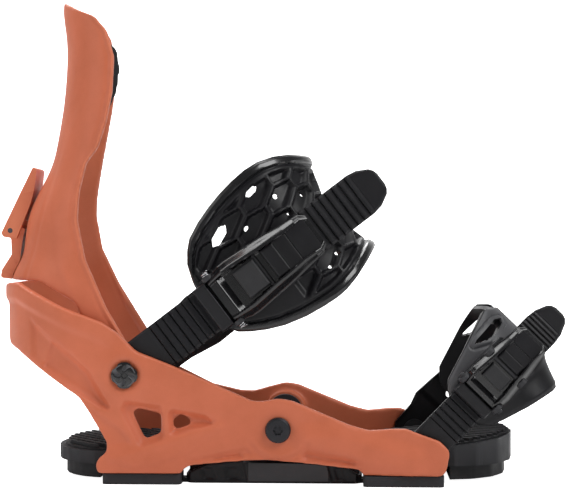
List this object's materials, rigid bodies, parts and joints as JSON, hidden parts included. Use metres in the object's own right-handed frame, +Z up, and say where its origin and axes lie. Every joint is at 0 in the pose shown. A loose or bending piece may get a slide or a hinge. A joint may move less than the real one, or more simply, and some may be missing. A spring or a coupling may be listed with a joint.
{
  "type": "snowboard binding",
  "caption": "Strap-in binding: hanger with heel loop rocking on a base plate and disc, folding highback with lean adjuster, ratcheting ankle strap and toe cap.",
  "frame": {"origin": "centre of the disc on the board plane, in the middle of its four screw holes", "axes": "+X to the toe, +Y to the inner side of the foot, +Z up from the board"},
  "size_m": [0.3361, 0.1348, 0.2834],
  "materials": {
    "orange_nylon": "satin moulded nylon",
    "black_nylon": "satin",
    "black_gloss": "gloss",
    "black_rubber": "matte",
    "dark_steel": "black oxide",
    "grey_panel": "satin"
  },
  "bodies": {
    "disc": {"mounting_disc": "black_nylon"},
    "base": {"base_plate": "black_nylon", "base_footbed": "black_rubber", "kingpin_sleeves": "dark_steel", "kingpin_screws": "dark_steel", "heel_bushings": "black_rubber", "toe_bushings": "black_rubber"},
    "hanger": {"hanger_frame": "orange_nylon", "heel_pad": "black_rubber", "heel_tread": "black_rubber", "ankle_screws": "dark_steel", "ankle_nuts": "dark_steel", "toe_pegs": "black_nylon"},
    "ramp": {"toe_ramp": "black_nylon", "toe_tread": "black_rubber"},
    "highback": {"highback_shell": "orange_nylon", "highback_liner": "black_rubber", "pivot_bushes": "black_nylon"},
    "lean_slider": {"lean_block": "orange_nylon", "lean_pin": "dark_steel"},
    "lean_handle": {"lean_lever": "orange_nylon"},
    "ankle_strap": {"ankle_ladder": "black_nylon"},
    "ankle_connector": {"ankle_link": "black_nylon"},
    "ankle_cushion": {"ankle_pad": "black_gloss", "ankle_link_bolt": "black_nylon", "ankle_buckle_base": "black_nylon", "ankle_buckle_pins": "dark_steel"},
    "ankle_handle": {"ankle_lever": "black_gloss", "ankle_lever_cover": "black_nylon"},
    "ankle_catch": {"ankle_pawl": "black_nylon"},
    "toe_strap": {"toe_ladder": "black_nylon"},
    "toe_connector": {"toe_link": "black_nylon"},
    "toe_cushion": {"toe_cap": "grey_panel", "toe_link_bolt": "black_nylon", "toe_buckle_base": "black_nylon", "toe_buckle_pins": "dark_steel"},
    "toe_handle": {"toe_lever": "black_gloss", "toe_lever_cover": "black_nylon"},
    "toe_catch": {"toe_pawl": "black_nylon"}
  },
  "joints": [
    {"name": "stance_turn", "type": "hinge", "parent": "disc", "child": "base", "pos_m": [0, 0, 0], "axis": [0, 0, 1], "range_deg": [-45, 45]},
    {"name": "hanger_rock", "type": "hinge", "parent": "base", "child": "hanger", "pos_m": [0, 0, 0.0319], "axis": [0, 1, 0], "range_deg": [-0.75, 0.75], "stiffness_Nm_per_rad": 30, "deforming": ["heel_bushings", "toe_bushings"]},
    {"name": "toe_ramp_slide", "type": "slide", "parent": "hanger", "child": "ramp", "axis": [1, 0, 0], "range_m": [0, 0.012]},
    {"name": "highback_fold", "type": "hinge", "parent": "hanger", "child": "highback", "pos_m": [-0.088, 0, 0.063], "axis": [0, 1, 0], "range_deg": [0, 28]},
    {"name": "lean_slide", "type": "slide", "parent": "highback", "child": "lean_slider", "axis": [0.2571, 0, 0.9664], "range_m": [0, 0.01]},
    {"name": "lean_lever_lift", "type": "hinge", "parent": "lean_slider", "child": "lean_handle", "pos_m": [-0.1634, 0, 0.1462], "axis": [0, -1, 0], "range_deg": [0, 60]},
    {"name": "ankle_swing", "type": "hinge", "parent": "hanger", "child": "ankle_connector", "pos_m": [-0.088, 0, 0.063], "axis": [0, 1, 0], "range_deg": [-6, 12]},
    {"name": "ankle_ladder_swing", "type": "hinge", "parent": "hanger", "child": "ankle_strap", "pos_m": [-0.088, 0, 0.063], "axis": [0, 1, 0], "range_deg": [-6, 12]},
    {"name": "ankle_tighten", "type": "slide", "parent": "ankle_connector", "child": "ankle_cushion", "axis": [0.7955, 0, 0.606], "range_m": [-0.01, 0.006]},
    {"name": "ankle_lever_lift", "type": "hinge", "parent": "ankle_cushion", "child": "ankle_handle", "pos_m": [-0.03112, -0.056, 0.10633], "axis": [0.606, 0, -0.7955], "range_deg": [0, 60]},
    {"name": "ankle_pawl_lift", "type": "hinge", "parent": "ankle_cushion", "child": "ankle_catch", "pos_m": [-0.00885, -0.056, 0.1233], "axis": [-0.606, 0, 0.7955], "range_deg": [0, 8], "stiffness_Nm_per_rad": 0.1, "springref_deg": -1.15},
    {"name": "toe_swing", "type": "hinge", "parent": "hanger", "child": "toe_connector", "pos_m": [0.082, 0, 0.0197], "axis": [0, 1, 0], "range_deg": [-20, 5]},
    {"name": "toe_ladder_swing", "type": "hinge", "parent": "hanger", "child": "toe_strap", "pos_m": [0.082, 0, 0.0197], "axis": [0, 1, 0], "range_deg": [-20, 5]},
    {"name": "toe_tighten", "type": "slide", "parent": "toe_connector", "child": "toe_cushion", "axis": [0.6959, 0, 0.7181], "range_m": [-0.007, 0.005]},
    {"name": "toe_lever_lift", "type": "hinge", "parent": "toe_cushion", "child": "toe_handle", "pos_m": [0.11506, -0.06, 0.05381], "axis": [0.7181, 0, -0.6959], "range_deg": [0, 60]},
    {"name": "toe_pawl_lift", "type": "hinge", "parent": "toe_cushion", "child": "toe_catch", "pos_m": [0.12909, -0.06, 0.06829], "axis": [-0.7181, 0, 0.6959], "range_deg": [0, 8], "stiffness_Nm_per_rad": 0.1, "springref_deg": -1.15}
  ],
  "couplings": [
    {"joint": "ankle_ladder_swing", "follows": "ankle_swing", "ratio": 1},
    {"joint": "toe_ladder_swing", "follows": "toe_swing", "ratio": 1}
  ]
}
